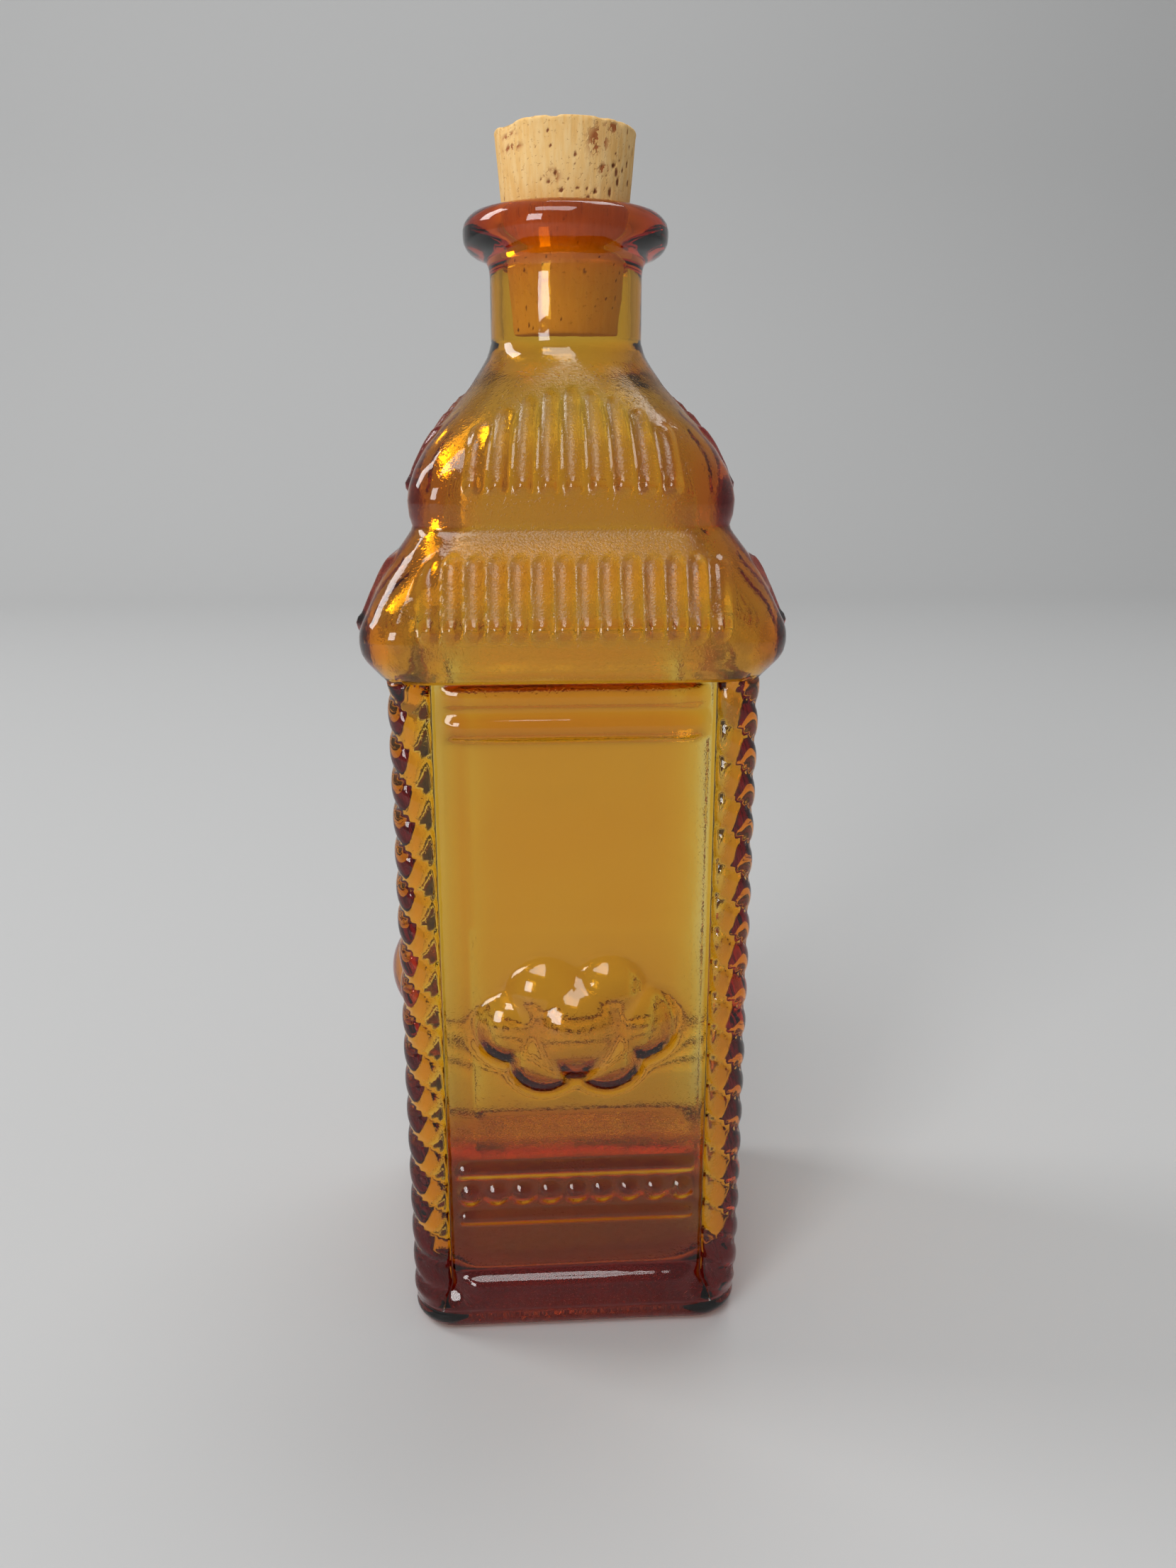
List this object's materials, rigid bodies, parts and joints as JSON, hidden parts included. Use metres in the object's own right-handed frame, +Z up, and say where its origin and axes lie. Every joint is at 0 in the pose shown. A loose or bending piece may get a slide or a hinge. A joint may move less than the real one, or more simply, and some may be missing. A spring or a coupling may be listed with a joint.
{
  "type": "square glass bottle with cork",
  "caption": "Square amber glass bottle with rope columns at its corners, a two-tier ribbed roof, a rolled lip and a tapered cork that draws out.",
  "frame": {"origin": "middle of the underside, on the table", "axes": "+Z is up along the neck, the front face looks along -Y, +X is to the right seen from the front"},
  "size_m": [0.0856, 0.0856, 0.256],
  "materials": {
    "amber_glass": "clear amber glass, glossy, with a lightly dimpled surface on the roofs",
    "cork": "natural cork, dull, with darker pores"
  },
  "bodies": {
    "glass": {"glass_bottle": "amber_glass"},
    "cork": {"cork_stopper": "cork"}
  },
  "joints": [
    {"name": "cork_slide", "type": "slide", "parent": "glass", "child": "cork", "axis": [0, 0, 1], "range_m": [0, 0.045]}
  ]
}
